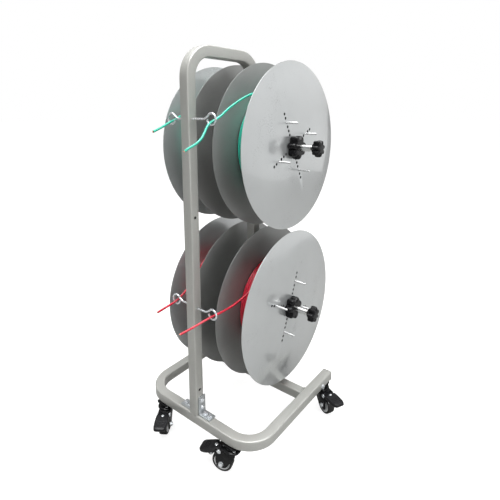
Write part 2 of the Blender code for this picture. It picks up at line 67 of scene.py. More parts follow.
AXLE_HEIGHTS = {"upper": 0.737, "lower": 0.324}
AXLE_RADIUS = 0.008
AXLE_HALF_LENGTH = 0.188
COLLAR_RADIUS = 0.013
COLLAR_OUT = 0.0232
FLANGE_RADIUS = 0.200
FLANGE_THICK = 0.002
INNER_FLANGE = 0.040
OUTER_FLANGE = 0.117
SLEEVE_RADIUS = 0.012
SLEEVE_FROM = 0.0238
SLEEVE_TO = 0.1400
SPIDER_FROM = 0.0345
SPIDER_THICK = 0.005
SPIDER_REACH = 0.095
SPIDER_HALF_WIDTH = 0.007
PIN_CIRCLE = 0.066
PIN_RADIUS = 0.0025
PIN_END = 0.150
CORE_TURN = {"upper_right": -26.6, "upper_left": 12.0, "lower_right": 22.1, "lower_left": -35.0}
HOLE_CIRCLES = (0.033, 0.044, 0.055, 0.077, 0.088)
SMALL_HOLE = 0.0036  # radius
SHEET = 0.0010  # thickness of the flanges seen here, thinner than the imported ones
# Where the black discs of painted shade sit, just inside each flange, to darken its small holes
SHADE_DISC_HEIGHTS = (INNER_FLANGE + FLANGE_THICK + 0.00015, OUTER_FLANGE - 0.00005)
WIRE_RADIUS = 0.0025
WINDING_INSIDE = 0.0692
WINDING_OUTSIDE = {"upper": 0.119, "lower": 0.114}

EYE_BOLTS = {
    "upper_right": (1, 0.066, 0.8077),
    "upper_left": (-1, 0.052, 0.8075),
    "lower_right": (1, 0.059, 0.3764),
    "lower_left": (-1, 0.057, 0.3799),
}
EYE_RING = 0.0115  # radius to the middle of the rod
EYE_ROD = 0.00225

CASTER_X = {"front": 0.1135, "rear": 0.1730}
CASTER_HEADING = {"front_left": -55.0, "front_right": 198.0, "rear_left": 155.0, "rear_right": -25.0}
PEDAL_TILT = {"front_left": 12.0, "front_right": 0.0, "rear_left": 18.0, "rear_right": 18.0}
CASTER_TRAIL = 0.023
WHEEL_RADIUS = 0.025
FORK_INSIDE = 0.0125
FORK_OUTSIDE = 0.0150
MOUNT_UNDERSIDE = 0.0722
PEDAL_PIVOT = (0.028, 0.056)

# Star knobs: (outer radius, waist radius, from, to)
CLAMP_KNOB = (0.0290, 0.0205, 0.1195, 0.1405)
END_KNOB = (0.0200, 0.0135, 0.1757, 0.1963)
END_KNOB_BORE_TO = 0.1885
KNOB_LOBES = 7
LOBE_POINTS = 20

SIDES = {"right": 1, "left": -1}

# Free wire ends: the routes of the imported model, from winding through eye to bare end; y is from the axles
TAIL_ROUTES = {
    "upper_right": [
        (0.080, 0.0126, 0.8581), (0.080, -0.0199, 0.8622), (0.080, -0.0549, 0.8645),
        (0.080, -0.0849, 0.8640), (0.079, -0.1089, 0.8602), (0.077, -0.1319, 0.8530),
        (0.075, -0.1489, 0.8455), (0.073, -0.1679, 0.8360), (0.071, -0.1879, 0.8245),
        (0.069, -0.2059, 0.8125), (0.067, -0.2239, 0.8045), (0.067, -0.2349, 0.8000),
        (0.068, -0.2449, 0.7920), (0.070, -0.2539, 0.7820), (0.072, -0.2639, 0.7720),
        (0.071, -0.2739, 0.7640), (0.068, -0.2829, 0.7585), (0.064, -0.2919, 0.7535),
        (0.060, -0.2999, 0.7480),
    ],
    "upper_left": [
        (-0.070, 0.0126, 0.8581), (-0.070, -0.0249, 0.8605), (-0.069, -0.0599, 0.8580),
        (-0.067, -0.0949, 0.8500), (-0.064, -0.1299, 0.8395), (-0.060, -0.1649, 0.8265),
        (-0.056, -0.1949, 0.8140), (-0.0525, -0.2189, 0.8050), (-0.0510, -0.2289, 0.8022),
        (-0.0490, -0.2429, 0.7980), (-0.0465, -0.2589, 0.7920), (-0.0450, -0.2749, 0.7865),
        (-0.0430, -0.2899, 0.7820),
    ],
    "lower_right": [
        (0.078, -0.0549, 0.4276), (0.078, -0.0839, 0.4142), (0.077, -0.1099, 0.4005),
        (0.075, -0.1299, 0.3905), (0.072, -0.1499, 0.3835), (0.069, -0.1719, 0.3780),
        (0.065, -0.1949, 0.3745), (0.061, -0.2169, 0.3728), (0.0585, -0.2289, 0.3722),
        (0.0560, -0.2399, 0.3705), (0.0510, -0.2549, 0.3665), (0.0450, -0.2699, 0.3615),
        (0.0375, -0.2849, 0.3560), (0.0290, -0.2999, 0.3500),
    ],
    "lower_left": [
        (-0.070, 0.0111, 0.4408), (-0.070, -0.0249, 0.4470), (-0.070, -0.0599, 0.4515),
        (-0.070, -0.0899, 0.4505), (-0.069, -0.1169, 0.4420), (-0.067, -0.1419, 0.4260),
        (-0.064, -0.1669, 0.4070), (-0.061, -0.1909, 0.3905), (-0.0585, -0.2149, 0.3800),
        (-0.0580, -0.2289, 0.3755), (-0.0600, -0.2429, 0.3715), (-0.0620, -0.2629, 0.3680),
        (-0.0615, -0.2849, 0.3660),
    ],
}
TAIL_STEP = 0.003


# Softboxes: (location, target, width, height, watts)
SOFTBOXES = {
    "overhead": ((0.2, -0.2, 2.9), (0.0, 0.0, 0.4), 2.4, 2.4, 125.0),
    "front": ((-0.6, -3.0, 1.5), (0.0, 0.0, 0.5), 1.6, 1.8, 6.0),
    "right": ((2.9, -0.6, 0.9), (0.0, 0.0, 0.35), 1.8, 1.5, 25.0),
    "back_right": ((1.9, 2.3, 0.80), (0.0, 0.0, 0.5), 3.6, 2.4, 19.0),
}

# Materials: name, dark and light colour, (lowest, highest) roughness, metallic, the scales of the patches and
# of the grain per metre, the height of the grain in metres, and values for further sockets of the shader
GLOSS = {"Specular IOR Level": 0.22}
SLEEK = {"Coat Weight": 0.3, "Coat Roughness": 0.12}
BLACK = ((0.003, 0.003, 0.0035), (0.009, 0.009, 0.010))
FINISHES = {
    "frame_paint": ("frame_paint_look", (0.40, 0.402, 0.378), (0.50, 0.502, 0.478), (0.34, 0.46), 0.35,
                    5.0, 900.0, 0.00012, {"Coat Weight": 0.15, "Coat Roughness": 0.30}),
    "weld": ("weld_look", (0.28, 0.285, 0.27), (0.42, 0.425, 0.40), (0.40, 0.60), 0.45, 60.0, 700.0, 0.0005),
    # Painted shade: a near-black finish for the discs that darken the flanges' small holes
    "painted_shade": ("painted_shade_look", (0.004, 0.004, 0.004), (0.010, 0.010, 0.010), (0.80, 0.95), 0.0,
              60.0, 900.0, 0.0001, {"Specular IOR Level": 0.1}),
    "pin_steel": ("pin_look", (0.62, 0.63, 0.63), (0.74, 0.75, 0.75), (0.22, 0.34), 0.60,
                  90.0, 700.0, 0.00005),
    "zinc_plate": ("zinc_look", (0.74, 0.78, 0.82), (0.84, 0.86, 0.87), (0.20, 0.34), 0.70,
                   30.0, 500.0, 0.00004),
    "plate_zinc": ("bracket_zinc_look", (0.42, 0.45, 0.47), (0.55, 0.57, 0.58), (0.28, 0.40), 0.70,
                   30.0, 500.0, 0.00004),
    "knob_plastic": ("knob_look", *BLACK, (0.10, 0.20), 0.0, 50.0, 1400.0, 0.00006, GLOSS),
    "caster_black": ("caster_look", *BLACK, (0.10, 0.20), 0.0, 60.0, 900.0, 0.00008, GLOSS),
    "pedal_plastic": ("pedal_look", (0.005, 0.005, 0.006), (0.013, 0.013, 0.015), (0.26, 0.38), 0.0,
                      60.0, 1200.0, 0.0001, {"Specular IOR Level": 0.35}),
    "wheel_rubber": ("tread_look", (0.006, 0.006, 0.006), (0.020, 0.020, 0.019), (0.45, 0.65), 0.0,
                     70.0, 800.0, 0.00012),
    "hub_plastic": ("hub_look", (0.66, 0.67, 0.68), (0.80, 0.81, 0.82), (0.28, 0.42), 0.0,
                    60.0, 900.0, 0.00006),
    "green_wire": ("green_wire_look", (0.018, 0.42, 0.29), (0.05, 0.56, 0.41), (0.22, 0.34), 0.0,
                   40.0, 700.0, 0.00006, SLEEK),
    "red_wire": ("red_wire_look", (0.50, 0.012, 0.030), (0.68, 0.026, 0.060), (0.22, 0.34), 0.0,
                 40.0, 700.0, 0.00006, SLEEK),
    "copper": ("copper_look", (0.62, 0.28, 0.16), (0.85, 0.45, 0.30), (0.20, 0.35), 1.0,
               300.0, 2500.0, 0.00004),
}


def shift(x, y, z):
    return Matrix.Translation((x, y, z))


def spin_by(axis, angle):
    return Matrix.Rotation(angle, 4, axis)


# Camera, light and floor --------------------


def add_camera():
    azimuth, elevation, roll = (math.radians(value) for value in (38.8, 11.09, -0.26))
    data = bpy.data.cameras.new("camera")
    data.sensor_width = 36.0
    data.lens = 29.5
    data.shift_x = 0.0192
    data.shift_y = -0.1214
    data.clip_start = 0.01
    data.clip_end = 100.0
    camera = bpy.data.objects.new("camera", data)
    bpy.context.scene.collection.objects.link(camera)
    turn = spin_by("Z", azimuth) @ spin_by("X", math.pi / 2 - elevation)
    place = shift(0.6381, AXLE_Y - 0.8479, 0.8276)
    camera.matrix_world = place @ turn @ spin_by("Z", roll)
    bpy.context.scene.camera = camera


def add_softbox(name, location, target, width, height, power):
    data = bpy.data.lights.new(name, "AREA")
    data.shape = "RECTANGLE"
    data.size = width
    data.size_y = height
    data.energy = power
    light = bpy.data.objects.new(name, data)
    bpy.context.scene.collection.objects.link(light)
    light.location = location
    light.rotation_mode = "QUATERNION"
    light.rotation_quaternion = (Vector(target) - Vector(location)).to_track_quat("-Z", "Y")


def add_world():
    """An even studio surround: white to the eye, and brighter overhead than from the sides in its light."""
    world = bpy.data.worlds.new("studio")
    bpy.context.scene.world = world
    world.use_nodes = True
    tree = world.node_tree
    tree.nodes.clear()
    coords = tree.nodes.new("ShaderNodeTexCoord")
    split = add_node(tree, "ShaderNodeSeparateXYZ", {"Vector": coords.outputs["Generated"]})
    heights = add_node(
        tree, "ShaderNodeMapRange",
        {"Value": split.outputs["Z"], "From Min": -0.05, "From Max": 0.90, "To Min": 0.0, "To Max": 1.0},
    )
    ramp = add_node(tree, "ShaderNodeValToRGB", {"Fac": heights.outputs["Result"]})
    ramp.color_ramp.elements[0].color = (0.08, 0.08, 0.078, 1.0)
    ramp.color_ramp.elements[1].color = (1.0, 1.0, 1.0, 1.0)
    light = add_node(tree, "ShaderNodeBackground", {"Color": ramp.outputs["Color"], "Strength": 0.70})
    seen = add_node(tree, "ShaderNodeBackground", {"Color": (1.0, 1.0, 1.0, 1.0), "Strength": 1.0})
    path = tree.nodes.new("ShaderNodeLightPath")
    mix = add_node(
        tree, "ShaderNodeMixShader",
        {0: path.outputs["Is Camera Ray"], 1: light.outputs["Background"], 2: seen.outputs["Background"]},
    )
    add_node(tree, "ShaderNodeOutputWorld", {"Surface": mix.outputs["Shader"]})


def add_floor():
    bm = bmesh.new()
    bmesh.ops.create_grid(bm, x_segments=1, y_segments=1, size=30.0)
    mesh = bpy.data.meshes.new("floor")
    bm.to_mesh(mesh)
    bm.free()
    mesh.materials.append(plain_floor())
    floor = bpy.data.objects.new("floor", mesh)
    bpy.context.scene.collection.objects.link(floor)


def set_stage():
    bpy.context.scene.view_settings.view_transform = "Standard"
    add_camera()
    add_world()
    add_floor()
    for name, box in SOFTBOXES.items():
        add_softbox(name, *box)


# Materials --------------------


def add_node(tree, kind, inputs, **settings):
    """A node with its settings, its inputs either linked from a socket or set to a value."""
    made = tree.nodes.new(kind)
    for key, value in settings.items():
        setattr(made, key, value)
    for key, value in inputs.items():
        if isinstance(value, bpy.types.NodeSocket):
            tree.links.new(value, made.inputs[key])
        else:
            made.inputs[key].default_value = value
    return made


def new_material(name):
    material = bpy.data.materials.new(name)
    material.use_nodes = True
    tree = material.node_tree
    return material, tree, tree.nodes["Principled BSDF"]


def object_coords(tree, stretch):
    coords = tree.nodes.new("ShaderNodeTexCoord")
    return add_node(
        tree, "ShaderNodeMapping", {"Vector": coords.outputs["Object"], "Scale": stretch}
    ).outputs["Vector"]


def noise_value(tree, vector, scale, detail=3.0, rough=0.55):
    made = add_node(
        tree, "ShaderNodeTexNoise",
        {"Vector": vector, "Scale": scale, "Detail": detail, "Roughness": rough},
    )
    return made.outputs["Fac"]


def spread(tree, value, low, high, start=0.3, end=0.7):
    """A value that lies mostly between start and end, spread from low to high."""
    made = add_node(
        tree, "ShaderNodeMapRange",
        {"Value": value, "From Min": start, "From Max": end, "To Min": low, "To Max": high},
    )
    return made.outputs["Result"]


def mixed(tree, factor, first, second):
    made = add_node(
        tree, "ShaderNodeMix", {"Factor": factor, "A": first, "B": second}, data_type="RGBA"
    )
    for key, value in (("A", first), ("B", second)):
        socket = [s for s in made.inputs if s.name == key and s.type == "RGBA"][0]
        if isinstance(value, bpy.types.NodeSocket):
            tree.links.new(value, socket)
        else:
            socket.default_value = value
    return [s for s in made.outputs if s.type == "RGBA"][0]


def set_sockets(shader, metallic, more):
    shader.inputs["Metallic"].default_value = metallic
    for key, value in more.items():
        shader.inputs[key].default_value = value


def finish(name, dark, light, roughness, metallic, patch, grain, depth, more={}):
    """A surface whose colour drifts in patches, and whose fine grain breaks up its gloss and relief."""
    material, tree, shader = new_material(name)
    vector = object_coords(tree, (1, 1, 1))
    patches = noise_value(tree, vector, patch)
    fine = noise_value(tree, vector, grain, 2.0)
    tint = add_node(
        tree, "ShaderNodeMath", {0: patches, 1: fine}, operation="MULTIPLY"
    ).outputs["Value"]
    blend = spread(tree, tint, 0.0, 1.0, 0.12, 0.40)
    tree.links.new(mixed(tree, blend, (*dark, 1.0), (*light, 1.0)), shader.inputs["Base Color"])
    tree.links.new(spread(tree, fine, *roughness), shader.inputs["Roughness"])
    bump = add_node(tree, "ShaderNodeBump", {"Height": fine, "Strength": 0.6, "Distance": depth})
    tree.links.new(bump.outputs["Normal"], shader.inputs["Normal"])
    set_sockets(shader, metallic, more)
    return material


def machined(name, colour, roughness, rings):
    """Turned steel: fine tool marks as rings along the X axis, on which the axles lie."""
    material, tree, shader = new_material(name)
    vector = object_coords(tree, (1, 1, 1))
    bands = add_node(
        tree, "ShaderNodeTexWave",
        {"Vector": vector, "Scale": rings, "Distortion": 0.6, "Detail": 2.0, "Detail Scale": 3.0},
        bands_direction="X",
    ).outputs["Fac"]
    stain = noise_value(tree, vector, 60.0)
    dull = tuple(0.82 * c for c in colour)
    tint = mixed(tree, spread(tree, stain, 0.0, 1.0), (*dull, 1.0), (*colour, 1.0))
    tree.links.new(tint, shader.inputs["Base Color"])
    tree.links.new(spread(tree, stain, *roughness), shader.inputs["Roughness"])
    bump = add_node(tree, "ShaderNodeBump", {"Height": bands, "Strength": 0.25, "Distance": 0.00006})
    tree.links.new(bump.outputs["Normal"], shader.inputs["Normal"])
    shader.inputs["Metallic"].default_value = 1.0
    return material


def rolled_sheet(name, dark, light, roughness, metallic, more={}):
    """Satin sheet metal: faint rolling marks, slow waves in the sheet, and cloudy gloss."""
    material, tree, shader = new_material(name)
    vector = object_coords(tree, (1, 1, 1))
    lines = noise_value(tree, object_coords(tree, (1, 1, 40)), 14.0, 4.0, 0.7)
    cloud = noise_value(tree, vector, 9.0, 4.0)
    fine = noise_value(tree, vector, 700.0, 2.0)
    tint = mixed(tree, spread(tree, cloud, 0.0, 1.0), (*dark, 1.0), (*light, 1.0))
    streaked = mixed(tree, spread(tree, lines, 0.0, 0.35), tint, (*light, 1.0))
    tree.links.new(streaked, shader.inputs["Base Color"])
    gloss = add_node(tree, "ShaderNodeMath", {0: cloud, 1: fine}, operation="MULTIPLY").outputs["Value"]
    tree.links.new(spread(tree, gloss, *roughness, 0.12, 0.40), shader.inputs["Roughness"])
    waves = add_node(tree, "ShaderNodeBump", {"Height": cloud, "Strength": 0.12, "Distance": 0.002})
    bump = add_node(
        tree, "ShaderNodeBump",
        {"Height": fine, "Strength": 0.35, "Distance": 0.00005, "Normal": waves.outputs["Normal"]},
    )
    tree.links.new(bump.outputs["Normal"], shader.inputs["Normal"])
    set_sockets(shader, metallic, more)
    return material


def plain_floor():
    """White to the eye with a faint shadow under the object, and a mid grey in the light it gives back."""
    material, tree, shader = new_material("studio_floor")
    value = noise_value(tree, object_coords(tree, (1, 1, 1)), 3.0)
    tint = mixed(tree, value, (0.33, 0.33, 0.325, 1.0), (0.37, 0.37, 0.365, 1.0))
    tree.links.new(tint, shader.inputs["Base Color"])
    shader.inputs["Roughness"].default_value = 0.9
    shader.inputs["Specular IOR Level"].default_value = 0.0
    white = add_node(tree, "ShaderNodeEmission", {"Color": (1.0, 1.0, 1.0, 1.0), "Strength": 0.84})
    pale = add_node(
        tree, "ShaderNodeAddShader", {0: shader.outputs["BSDF"], 1: white.outputs["Emission"]}
    )
    path = tree.nodes.new("ShaderNodeLightPath")
    mix = add_node(
        tree, "ShaderNodeMixShader",
        {0: path.outputs["Is Camera Ray"], 1: shader.outputs["BSDF"], 2: pale.outputs["Shader"]},
    )
    tree.links.new(mix.outputs["Shader"], tree.nodes["Material Output"].inputs["Surface"])
    return material


def make_materials():
    made = {key: finish(*row) for key, row in FINISHES.items()}
    made["outer_sheet"] = rolled_sheet(
        "outer_flange_look", (0.535, 0.555, 0.560), (0.575, 0.595, 0.598), (0.27, 0.33), 0.60,
        {"Coat Weight": 1.0, "Coat Roughness": 0.04},
    )
    # The inner flanges are the same sheet as the outer ones, coloured darker: painted shade of the gap
    # between the flanges
    made["inner_sheet"] = rolled_sheet(
        "inner_flange_shaded_look", (0.27, 0.275, 0.27), (0.34, 0.345, 0.34), (0.36, 0.46), 0.55,
    )
    made["bright_steel"] = machined("bright_steel_look", (0.84, 0.84, 0.83), (0.14, 0.26), 450.0)
    return made


# Shapes --------------------


def skin(loops, closed=False, capped=True):
    """A surface through loops of equally many points; its ends are capped, or joined if closed."""
    bm = bmesh.new()
    rows = [[bm.verts.new(point) for point in loop] for loop in loops]
    pairs = list(zip(rows, rows[1:]))
    if closed:
        pairs.append((rows[-1], rows[0]))
    elif capped:
        bm.faces.new(rows[0])
        bm.faces.new(rows[-1])
    for first, second in pairs:
        for i in range(len(first)):
            j = (i + 1) % len(first)
            bm.faces.new((first[i], first[j], second[j], second[i]))
    bmesh.ops.recalc_face_normals(bm, faces=bm.faces)
    return bm


def circle(radius, height, count):
    angles = [2 * math.pi * (i + 0.5) / count for i in range(count)]
    return [Vector((radius * math.cos(a), radius * math.sin(a), height)) for a in angles]


def turned(profile, count, closed=False):
    """A solid turned round +Z from a profile of (radius, height) points."""
    return skin([circle(radius, height, count) for radius, height in profile], closed)


def eased(profile, ease):
    """A turned profile with each inner corner cut back twice, so that its edges catch the light."""
    soft = [profile[0]]
    for before, here, after in zip(profile, profile[1:], profile[2:]):
        here_v = Vector(here)
        for other in (before, after):
            step = Vector(other) - here_v
            soft.append(tuple(here_v + step * min(0.45, ease / max(step.length, 1e-9))))
    soft.append(profile[-1])
    return soft


def prism(outline, low, high):
    return skin([[Vector((x, y, z)) for x, y in outline] for z in (low, high)])


def rounded_polygon(corners, radius, steps=5):
    """A convex outline with its corners rounded."""
    outline = []
    count = len(corners)
    for i in range(count):
        before, here, after = (Vector(corners[(i + k - 1) % count]) for k in range(3))
        to_before, to_after = (before - here), (after - here)
        reach = min(radius, 0.45 * to_before.length, 0.45 * to_after.length)
        start = here + to_before.normalized() * reach
        end = here + to_after.normalized() * reach
        for k in range(steps + 1):
            t = k / steps
            outline.append(tuple(start * (1 - t) ** 2 + here * 2 * t * (1 - t) + end * t ** 2))
    return outline


def rectangle(half_x, half_y):
    return [(half_x, half_y), (-half_x, half_y), (-half_x, -half_y), (half_x, -half_y)]


def rounded_square(half, radius, steps):
    outline = []
    for corner in range(4):
        start = math.pi / 2 * corner
        centre = Matrix.Rotation(start, 2) @ Vector((half - radius, half - radius))
        for step in range(steps + 1):
            angle = start + math.pi / 2 * step / steps
            outline.append((centre.x + radius * math.cos(angle), centre.y + radius * math.sin(angle)))
    return outline


def square_tube(stations, across):
    """A hollow square tube through stations of (centre, sideways direction)."""
    outer = rounded_square(TUBE / 2, TUBE_CORNER, 5)
    inner = rounded_square(TUBE / 2 - TUBE_WALL, TUBE_CORNER - TUBE_WALL, 5)
    outside = [[c + side * a + across * b for a, b in outer] for c, side in stations]
    inside = [[c + side * a + across * b for a, b in inner] for c, side in stations]
    return skin(outside + inside[::-1], True)


def bend(centre, first, last, radius, steps=22):
    stations = []
    for step in range(steps + 1):
        angle = math.pi / 2 * step / steps
        side = first * math.cos(angle) + last * math.sin(angle)
        stations.append((centre + side * radius, side))
    return stations


def smooth_route(points, step):
    """Points at even steps along the smooth curve (Catmull-Rom) through a route."""
    route = [Vector(p) for p in points]
    ends = [2 * route[0] - route[1]] + route + [2 * route[-1] - route[-2]]
    fine = []
    for p0, p1, p2, p3 in zip(ends, ends[1:], ends[2:], ends[3:]):
        for k in range(20):
            t = k / 20
            fine.append(
                0.5 * (2 * p1 + (p2 - p0) * t + (2 * p0 - 5 * p1 + 4 * p2 - p3) * t * t
                       + (3 * p1 - p0 - 3 * p2 + p3) * t * t * t)
            )
    fine.append(route[-1])
    lengths = [0.0]
    for a, b in zip(fine, fine[1:]):
        lengths.append(lengths[-1] + (b - a).length)
    count = max(2, round(lengths[-1] / step))
    even, at = [], 0
    for k in range(count + 1):
        want = lengths[-1] * k / count
        while at < len(fine) - 2 and lengths[at + 1] < want:
            at += 1
        share = (want - lengths[at]) / (lengths[at + 1] - lengths[at])
        even.append(fine[at].lerp(fine[at + 1], share))
    return even


def swept(points, radius, sides):
    """A round rod along points, with closed ends. Its cross-section is carried along unturned."""
    loops = []
    normal = None
    for i, point in enumerate(points):
        ahead = (points[min(i + 1, len(points) - 1)] - points[max(i - 1, 0)]).normalized()
        if normal is None:
            normal = ahead.orthogonal().normalized()
        normal = (normal - ahead * normal.dot(ahead)).normalized()
        other = ahead.cross(normal)
        angles = [2 * math.pi * k / sides for k in range(sides)]
        loops.append([point + (normal * math.cos(a) + other * math.sin(a)) * radius for a in angles])
    return skin(loops)


def joined(meshes):
    total = bmesh.new()
    for bm in meshes:
        part = bpy.data.meshes.new("part")
        bm.to_mesh(part)
        bm.free()
        total.from_mesh(part)
        bpy.data.meshes.remove(part)
    return total


def moved(bm, matrix):
    bmesh.ops.transform(bm, matrix=matrix, verts=bm.verts)
    return bm


def copied(bm, matrix):
    return moved(bm.copy(), matrix)


def cut(body, cutters):
    """The body with the cutters taken out of it."""
    objects = []
    for bm in (body, cutters):
        mesh = bpy.data.meshes.new("cut")
        bm.to_mesh(mesh)
        bm.free()
        obj = bpy.data.objects.new("cut", mesh)
        bpy.context.scene.collection.objects.link(obj)
        objects.append(obj)
    modifier = objects[0].modifiers.new("cut", "BOOLEAN")
    modifier.operation = "DIFFERENCE"
    modifier.object = objects[1]
    modifier.solver = "EXACT"
    bpy.context.view_layer.update()
    graph = bpy.context.evaluated_depsgraph_get()
    result = bmesh.new()
    result.from_mesh(objects[0].evaluated_get(graph).to_mesh())
    for obj in objects:
        bpy.data.objects.remove(obj, do_unlink=True)
    return result


def beveled(bm, width, segments=2, angle=35):
    """Rounds off every edge sharper than the angle."""
    edges = [e for e in bm.edges if len(e.link_faces) == 2 and e.calc_face_angle(0) > math.radians(angle)]
    bmesh.ops.bevel(
        bm, geom=edges, offset=width, offset_type="OFFSET", segments=segments,
        profile=0.5, affect="EDGES", clamp_overlap=True,
    )
    return bm


def add(name, bm, material, body, replaces=()):
    """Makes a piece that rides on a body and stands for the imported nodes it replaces."""
    mesh = bpy.data.meshes.new(name)
    bm.to_mesh(mesh)
    bm.free()
    mesh.shade_smooth()
    mesh.set_sharp_from_angle(angle=math.radians(38))
    mesh.materials.append(MATERIALS[material])
    obj = bpy.data.objects.new(name, mesh)
    bpy.context.scene.collection.objects.link(obj)
    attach(obj, body)
    if replaces:
        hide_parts(*replaces)
    return obj


# Fasteners --------------------


def hex_head(across, low, high):
    """A hexagonal head or nut with its top corners turned off."""
    radius = across / 2 / math.cos(math.pi / 6)
    edge = [(radius * 1.2, high - 0.0009), (radius * 1.2, high + 0.0002),
            (radius * 0.88, high + 0.0002), (radius * 1.03, high - 0.0009)]
    return cut(turned([(radius, low), (radius, high)], 6), turned(edge, 36, closed=True))


def washer(outer, low, high):
    return turned(eased([(outer * 0.3, low), (outer, low), (outer, high), (outer * 0.3, high)], 0.0003), 32)


def bolt(across, height, washer_radius, stud=0.0):
    """A bolt head on its washer, standing on z = 0; a stud may show beyond it."""
    meshes = [washer(washer_radius, 0.0, 0.0011), hex_head(across, 0.0010, 0.0011 + height)]
    if stud:
        foot, top, rod = 0.0011 + height - 0.001, 0.0011 + height + stud, across * 0.29
        meshes.append(turned([(rod, foot), (rod, top - 0.0006), (rod - 0.0006, top)], 20))
    return joined(meshes)


def dome(radius, low, high):
    """A rivet head."""
    profile = [(radius, low)]
    for k in range(6):
        angle = math.pi / 2 * k / 6
        profile.append((radius * math.cos(angle), low + (high - low) * (0.35 + 0.65 * math.sin(angle))))
    profile.append((radius * 0.05, high))
    return turned(profile, 24)


# The frame --------------------


def base():
    middle = BASE_HALF_WIDTH - TUBE / 2
    height = BASE_BOTTOM + TUBE / 2
    rear = BASE_REAR - END_PLATE - GAP
    bend_y = BASE_FRONT + BASE_BEND
    radius = BASE_BEND - TUBE / 2
    left, right, front = Vector((-1, 0, 0)), Vector((1, 0, 0)), Vector((0, -1, 0))
    inset = BASE_HALF_WIDTH - BASE_BEND
    stations = [(Vector((-middle, rear, height)), left)]
    stations += bend(Vector((-inset, bend_y, height)), left, front, radius)
    stations += bend(Vector((inset, bend_y, height)), front, right, radius)
    stations += [(Vector((middle, rear, height)), right)]
    tube = square_tube(stations, Vector((0, 0, 1)))
    add("base_tube", tube, "frame_paint", "root", ["base_frame"])
    outline = rounded_square(TUBE / 2, TUBE_CORNER, 5)
    for side, sign in SIDES.items():
        loops = []
        for inset, back in ((0.0006, -END_PLATE), (0.0, -END_PLATE + 0.0006),
                            (0.0, -0.0012), (0.0012, 0.0)):
            scale = 1 - inset / (TUBE / 2)
            loops.append([Vector((sign * middle + a * scale, BASE_REAR + back, height + b * scale))
                          for a, b in outline])
        add(f"base_end_{side}", skin(loops), "frame_paint", "root", [f"end_plate_{side}"])
        weld_ring(f"end_weld_{side}", Vector((sign * middle, rear + 0.0002, height)), "Y", 0.0009)
        place = shift(sign * BASE_HALF_WIDTH, AXLE_Y + 0.066, 0.0830)
        turn = spin_by("Y", sign * math.pi / 2)
        head = moved(bolt(0.0085, 0.0032, 0.0062), place @ turn)
        add(f"leg_bolt_{side}", head, "zinc_plate", "root")


def weld_ring(name, centre, axis, bead):
    """A slightly uneven weld bead round the end of a square tube."""
    outline = rounded_square(TUBE / 2, TUBE_CORNER, 4)
    points = []
    for (a, b), (c, d) in zip(outline, outline[1:] + outline[:1]):
        steps = max(1, round(math.hypot(c - a, d - b) / 0.0012))
        for k in range(steps):
            t = k / steps
            across, up = a + (c - a) * t, b + (d - b) * t
            offset = Vector((0, across, up)) if axis == "X" else Vector((across, 0, up))
            points.append(centre + offset)
    loops = []
    for i, point in enumerate(points):
        out = (point - centre).normalized()
        along = (points[(i + 1) % len(points)] - points[i - 1]).normalized()
        side = along.cross(out)
        size = bead * (1.0 + 0.22 * math.sin(i * 1.7) + 0.25 * noise.noise(point * 300))
        loops.append([point + (out * math.cos(k * math.pi / 4) + side * math.sin(k * math.pi / 4)) * size
                      for k in range(8)])
    add(name, skin(loops, True), "weld", "root")


def crossbar():
    reach = BASE_HALF_WIDTH - TUBE - GAP
    height = BASE_BOTTOM + TUBE / 2
    stations = [(Vector((x, AXLE_Y, height)), Vector((0, 1, 0))) for x in (-reach, reach)]
    add("crossbar_tube", square_tube(stations, Vector((0, 0, 1))), "frame_paint", "root",
        ["rear_crossbar"])
    for side, sign in SIDES.items():
        weld_ring(f"crossbar_weld_{side}", Vector((sign * reach, AXLE_Y, height)), "X", 0.0017)


def arch():
    foot = BASE_TOP + GAP
    radius = ARCH_BEND - TUBE / 2
    front, back, up = Vector((0, -1, 0)), Vector((0, 1, 0)), Vector((0, 0, 1))
    bend_z = ARCH_TOP - ARCH_BEND
    stations = [(Vector((0, FRONT_LEG_Y, foot)), front)]
    stations += bend(Vector((0, FRONT_LEG_Y + radius, bend_z)), front, up, radius)
    stations += bend(Vector((0, AXLE_Y - radius, bend_z)), up, back, radius)
    stations += [(Vector((0, AXLE_Y, foot)), back)]
    along_x = spin_by("Y", math.pi / 2)
    drills = []
    for z in AXLE_HEIGHTS.values():
        drills.append((AXLE_RADIUS + GAP, AXLE_Y, z))
    for z in SPARE_HOLES_Z:
        drills.append((SPARE_HOLE_RADIUS, FRONT_LEG_Y, z))
    for _, _, z in EYE_BOLTS.values():
        drills.append((EYE_ROD + 2 * GAP, FRONT_LEG_Y, z))
    # Each eye bolt has a height of its own, so its hole is drilled through one wall only.
    cutters = []
    for radius, y, z in drills:
        ends = (-TUBE, TUBE)
        for side, _, height in EYE_BOLTS.values():
            if height == z:
                ends = (0.0, TUBE) if side > 0 else (-TUBE, 0.0)
        hole = turned([(radius, ends[0]), (radius, ends[1])], 28)
        cutters.append(moved(hole, shift(0, y, z) @ along_x))
    tube = cut(square_tube(stations, Vector((1, 0, 0))), joined(cutters))
    add("arch_tube", tube, "frame_paint", "root", ["arch_frame"])


